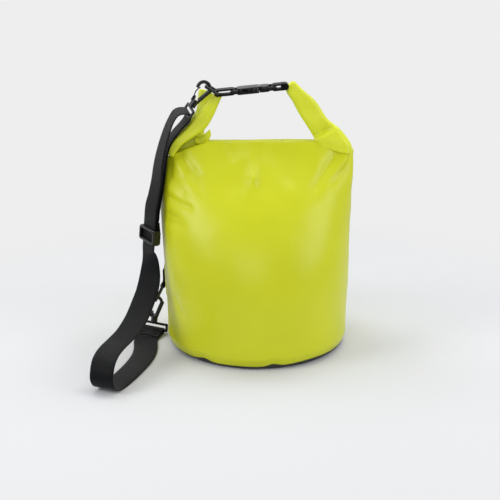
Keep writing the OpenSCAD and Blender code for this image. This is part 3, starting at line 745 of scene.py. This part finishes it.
def rumpled(rows, amount, size):
    """The same rows with the fabric's small folds, deepest from front to back."""
    return [[p + Vector((noise.noise(p / size), 1.4 * noise.noise(p / size + FOLDS_Y),
                         noise.noise(p / size + FOLDS_Z))) * amount for p in row] for row in rows]


# Outer and inner edge of each turned-up piece from its foot to its tip, and half its depth at each pair
LEFT_STRIP = [
    ((-133, -3, 296), (-123, -3, 284)), ((-121, -1, 311), (-110, -1, 300)), ((-107, 2, 324), (-92, 2, 312)),
    ((-93, 6, 340), (-74, 6, 326)), ((-82, 9, 352), (-65, 9, 340)), ((-73, 12, 362), (-57, 12, 356)),
    ((-67, 14, 370), (-49, 14, 373)),
]
LEFT_STRIP_DEPTH = [6, 10, 10.5, 9.5, 8.5, 7.5, 6.5]
LEFT_FLAP = [
    ((-92, 10, 306), (-88, 10, 292)), ((-85, 8, 311), (-81, 8, 297)), ((-77, 5, 317), (-74, 5, 302)),
    ((-71, 3, 323), (-69, 3, 311)),
]
LEFT_FLAP_DEPTH = [2.4, 2.2, 2, 1.4]
LEFT_REAR = [
    ((-130, 12, 291), (-76, 13, 294)), ((-121, 15, 309), (-77, 15, 314)), ((-104, 20, 329), (-72, 18, 334)),
    ((-91, 25, 347), (-62, 20, 352)), ((-88, 29, 364), (-56, 24, 366)), ((-86, 31, 377), (-66, 28, 373)),
]
LEFT_REAR_DEPTH = [4, 5, 5, 4, 3.5, 3]
RIGHT_EAR = [
    ((141, -1, 289), (86, 0, 300)), ((139, 1, 303), (82, 2, 312)), ((124.5, 4, 322), (72, 5, 328)),
    ((104, 7, 338), (60, 8, 347)), ((87, 9, 362), (51, 9, 363)), ((66, 10, 381), (43, 10, 375.5)),
    ((55, 10, 392), (41.5, 10, 381.5)),
]
RIGHT_EAR_DEPTH = [14, 15.5, 13, 12, 12, 12, 11]
# Fold across the foot of the right end, as points across and up: the tube above it tucks in behind the corner below
# it. How deep the tuck is and how far up it reaches, and how full the corner is and how far down
RIGHT_FOLD = ((82, 309), (112, 325))
TUCK = (12, 11)
CORNER = (2, 12)


def tucked(rows):
    """The same rows, with the front pressed in above the fold and full below it."""
    (ax, az), (bx, bz) = RIGHT_FOLD
    long = math.hypot(bx - ax, bz - az)
    moved = []
    for row in rows:
        middle = sum(p.y for p in row) / len(row)
        new = []
        for p in row:
            along = ((p.x - ax) * (bx - ax) + (p.z - az) * (bz - az)) / long
            above = ((p.z - az) * (bx - ax) - (p.x - ax) * (bz - az)) / long
            reach = ease((along + 6) / 14) * (1 - ease((along - 22) / 18))
            full = -CORNER[0] * math.exp(min(0, above) / CORNER[1])
            deep = TUCK[0] * math.exp(-max(0, above) / TUCK[1])
            press = mix(full, deep, ease(above / 8 + 0.4))
            front = ease((middle - p.y) / 6)
            # The front never goes behind the middle of the piece
            new.append(p + Vector((0, min(press * reach * front, max(0, middle - p.y)), 0)))
        moved.append(new)
    return moved


def ear_piece(name, rows, body, *replaced):
    return piece(name, close_ends(lofted(rows, loop=True)), LIME_FABRIC_PAINTED_GLOW, body, "coated_fabric", *replaced)


left_strip = ear_rows(LEFT_STRIP, LEFT_STRIP_DEPTH, sharp=0.95, count=90, around=64, pleats=(3, 0.25, 1.2, 1.0))
ear_piece("left_ear_strip", rumpled(left_strip, 0.8, 26), "bag", "left_ear")
left_flap = ear_rows(LEFT_FLAP, LEFT_FLAP_DEPTH, sharp=1.0, count=50, around=28, pleats=(2, 0, 0, 0))
ear_piece("left_ear_flap", rumpled(left_flap, 0.7, 15), "bag")
left_layer = ear_rows(LEFT_REAR, LEFT_REAR_DEPTH, sharp=1.0, count=50, around=40, pleats=(3, 0.2, 0.4, 1))
ear_piece("left_ear_layer", rumpled(left_layer, 0.9, 28), "bag")
right_fold = ear_rows(RIGHT_EAR, RIGHT_EAR_DEPTH, sharp=0.95, count=130, around=72, pleats=(3, 0.28, 2.2, -1.2))
right_ear = ear_piece("right_ear_fold", tucked(rumpled(right_fold, 1.0, 28)), None, "right_ear")
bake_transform(right_ear)


# Webbing loops

BUCKLE = Matrix.Translation((-5, 10, 381)) @ Matrix.Rotation(math.radians(-5.6), 4, "Y")
TAB_W = 26
ACROSS = Vector((0, 1, 0))
# Places along the buckle: the two bars in each loop, and the ends of the sewn layers in the right one
LEFT_BARS = (-53, -31.5)
RIGHT_BARS = (30.5, 46)
RIGHT_FILL = (39.5, 47.5)


def tab_loop(x0, x1):
    """A loop of webbing round two bars along the buckle."""
    r = BAR_R + SEAT + LOOP_T / 2
    arc = [math.radians(a) for a in range(-90, 91, 15)]
    flat = [k / 6 for k in range(1, 6)]
    path = ([Vector((x1 + r * math.cos(a), 0, r * math.sin(a))) for a in arc]
            + [Vector((mix(x1, x0, t), 0, r)) for t in flat]
            + [Vector((x0 - r * math.cos(a), 0, -r * math.sin(a))) for a in arc]
            + [Vector((mix(x0, x1, t), 0, -r)) for t in flat])
    path = [BUCKLE @ p for p in path]
    return webbing(path, [ACROSS] * len(path), TAB_W, LOOP_T, ring=True)


piece("left_tab_loop", tab_loop(*LEFT_BARS), WEBBING, "bag", "webbing", "left_tab")
piece("right_tab_loop", tab_loop(*RIGHT_BARS), WEBBING, "plug", "webbing", "right_tab")


def sewn_fill(x0, x1):
    """The folded-in layers that are sewn between the two sides of a loop."""
    path = [BUCKLE @ Vector((mix(x0, x1, k / 6), 0, 0)) for k in range(7)]
    return webbing(path, [ACROSS] * len(path), TAB_W - 1, 2 * (BAR_R + SEAT) + 0.2)


piece("right_tab_fill", sewn_fill(*RIGHT_FILL), WEBBING, "plug", "webbing")
right_corners = [BUCKLE @ Vector((x, y, BAR_R + SEAT + LOOP_T + THREAD_LIFT))
                 for x, y in ((40, -10), (46, -10), (46, 10), (40, 10))]
stitched_box("right_tab_stitches", right_corners, BUCKLE.to_3x3() @ UP, "plug")

# The loop of the lower ring: from its sewn outer layer round the ring's bar and up again on the patch
LOWER = RING_SIDE @ Matrix.Translation((-144.003, 0, 82))
LOWER_OUTER = 1.45
clear = BAR_R + SEAT + TAB_T / 2
lower_tab = ([(LOWER_OUTER, z) for z in (26, 22, 18, 14, 10, 7)]
             + [(clear * math.cos(math.radians(a)), clear * math.sin(math.radians(a))) for a in range(105, 361, 15)]
             + [(clear, z) for z in (5, 10, 15, 20, 25, 30)])
lower_path = [LOWER @ Vector((x, 0, z)) for x, z in lower_tab]
lower_across = [LOWER.to_3x3() @ ACROSS] * len(lower_path)
piece("lower_tab_loop", webbing(lower_path, lower_across, TAB_W, TAB_T), WEBBING, "bag", "webbing", "lower_tab")
lower_corners = [LOWER @ Vector((LOWER_OUTER - TAB_T / 2 - THREAD_LIFT, y, z))
                 for y, z in ((-10, 11), (10, 11), (10, 24), (-10, 24))]
stitched_box("lower_tab_stitches", lower_corners, LOWER.to_3x3() @ Vector((-1, 0, 0)), "bag")


# Moulded hardware

# Radius of a moulding's edges, of the prongs' finer ones and of the buckle's long ones, and what counts as long
EDGE_R = 0.7
PRONG_R = 0.5
LONG_EDGE_R = 2.4
LONG_EDGE = 18
SHARP_ANGLE = math.radians(40)
FLAT_ANGLE = math.radians(1)


def moulded(name, node, body, radius, full=0):
    """A copy of a hard CAD node with the rounded edges of a moulding, fuller along its long edges."""
    bm = bmesh.new()
    bm.from_mesh(nodes[node].data)
    bmesh.ops.remove_doubles(bm, verts=bm.verts, dist=DOUBLES)
    bmesh.ops.dissolve_limit(bm, angle_limit=FLAT_ANGLE, verts=bm.verts, edges=bm.edges)
    for size, shortest in ((full, LONG_EDGE), (radius, 0)):
        sharp = [e for e in bm.edges if len(e.link_faces) == 2 and e.calc_face_angle() > SHARP_ANGLE
                 and e.calc_length() > shortest * MM]
        if size:
            bmesh.ops.bevel(bm, geom=sharp, offset=size * MM, offset_type="OFFSET", segments=4, profile=0.5,
                            affect="EDGES", clamp_overlap=True, material=-1)
    return piece(name, bm, ACETAL, body, "moulded_plastic", node)


moulded("buckle_socket", "buckle_female", "bag", EDGE_R, LONG_EDGE_R)
moulded("buckle_plug", "buckle_male", "plug", EDGE_R, LONG_EDGE_R)
moulded("buckle_front_prong", "front_prong", "front_prong", PRONG_R)
moulded("buckle_rear_prong", "rear_prong", "rear_prong", PRONG_R)
moulded("strap_slider", "slider", "slider", EDGE_R)
for name in ("top_ring", "lower_ring", "top_hook", "top_gate", "top_eye", "bottom_hook", "bottom_gate", "bottom_eye"):
    nodes[name].data.materials.clear()
    nodes[name].data.materials.append(ACETAL)


# Floor and light

BACKGROUND = srgb("eeeeee")
FLOOR_R = 0.8
FADE_FROM = 0.35
LAMP_AIM = Vector((0, 0, 0.2))
WHITE = (1, 1, 1, 1)
# Strength of the light from all round, and of what reflections show in front of and behind the object
ROOM_LIGHT = 0.55
ROOM_FRONT = 0.06
ROOM_BEHIND = 0.6


def paper_floor():
    """A matte paper floor that fades, away from the object, into the plain background."""
    made = bpy.data.materials.new("matte_paper_pale")
    made.use_nodes = True
    tree = made.node_tree
    tree.nodes.clear()
    place = add(tree, "TexCoord").outputs["Object"]
    away = add(tree, "VectorMath", {0: place}, operation="LENGTH").outputs["Value"]
    fade = add(tree, "MapRange", {"Value": away, "From Min": FADE_FROM, "From Max": FLOOR_R},
               interpolation_type="SMOOTHSTEP")
    paper = add(tree, "BsdfDiffuse", {"Color": srgb("cfd0d3")})
    clear = add(tree, "BsdfTransparent")
    ends = add(tree, "MixShader", {0: fade.outputs["Result"], 1: paper.outputs[0], 2: clear.outputs[0]})
    add(tree, "OutputMaterial", {"Surface": ends.outputs[0]})
    return made


bm = bmesh.new()
bmesh.ops.create_circle(bm, cap_ends=True, segments=64, radius=FLOOR_R)
mesh = bpy.data.meshes.new("floor")
bm.to_mesh(mesh)
bm.free()
floor = bpy.data.objects.new("floor", mesh)
bpy.context.scene.collection.objects.link(floor)
mesh.materials.append(paper_floor())


def lamp(name, at, size, watts):
    data = bpy.data.lights.new(name, "AREA")
    data.shape = "RECTANGLE"
    data.size, data.size_y = size
    data.energy = watts
    made = bpy.data.objects.new(name, data)
    made.location = at
    made.rotation_euler = (LAMP_AIM - Vector(at)).to_track_quat("-Z", "Y").to_euler()
    bpy.context.scene.collection.objects.link(made)


def studio_world():
    """An even pale background for the camera, a dim room in reflections, and soft light from all round."""
    world = bpy.data.worlds.new("studio")
    world.use_nodes = True
    tree = world.node_tree
    tree.nodes.clear()
    path = add(tree, "LightPath")
    room = add(tree, "Background", {"Color": WHITE, "Strength": ROOM_LIGHT})
    # Reflections show the pale sweep behind the object, and a dim room in front of it
    way = add(tree, "SeparateXYZ", {"Vector": add(tree, "TexCoord").outputs["Generated"]})
    behind = add(tree, "MapRange", {"Value": way.outputs["Y"], "From Min": -0.1, "From Max": 0.35,
                                    "To Min": ROOM_FRONT, "To Max": ROOM_BEHIND})
    dim = add(tree, "Background", {"Color": WHITE, "Strength": behind.outputs["Result"]})
    pale = add(tree, "Background", {"Color": BACKGROUND, "Strength": 1})
    lit = add(tree, "MixShader", {0: path.outputs["Is Glossy Ray"], 1: room.outputs[0], 2: dim.outputs[0]})
    seen = add(tree, "MixShader", {0: path.outputs["Is Camera Ray"], 1: lit.outputs[0], 2: pale.outputs[0]})
    add(tree, "OutputWorld", {"Surface": seen.outputs[0]})
    bpy.context.scene.world = world


lamp("left_overhead_softbox", (-0.6, 0.5, 1.5), (0.8, 1.2), 9)
lamp("right_overhead_softbox", (0.6, 0.5, 1.5), (0.8, 1.2), 9)
lamp("front_softbox", (-0.2, -1.9, 0.8), (1.2, 0.8), 6)
lamp("left_softbox", (-1.2, -0.6, 0.95), (0.6, 0.8), 8.5)
lamp("right_softbox", (1.3, -0.6, 0.75), (0.7, 1.1), 8.5)
studio_world()
bpy.context.scene.view_settings.view_transform = "Standard"
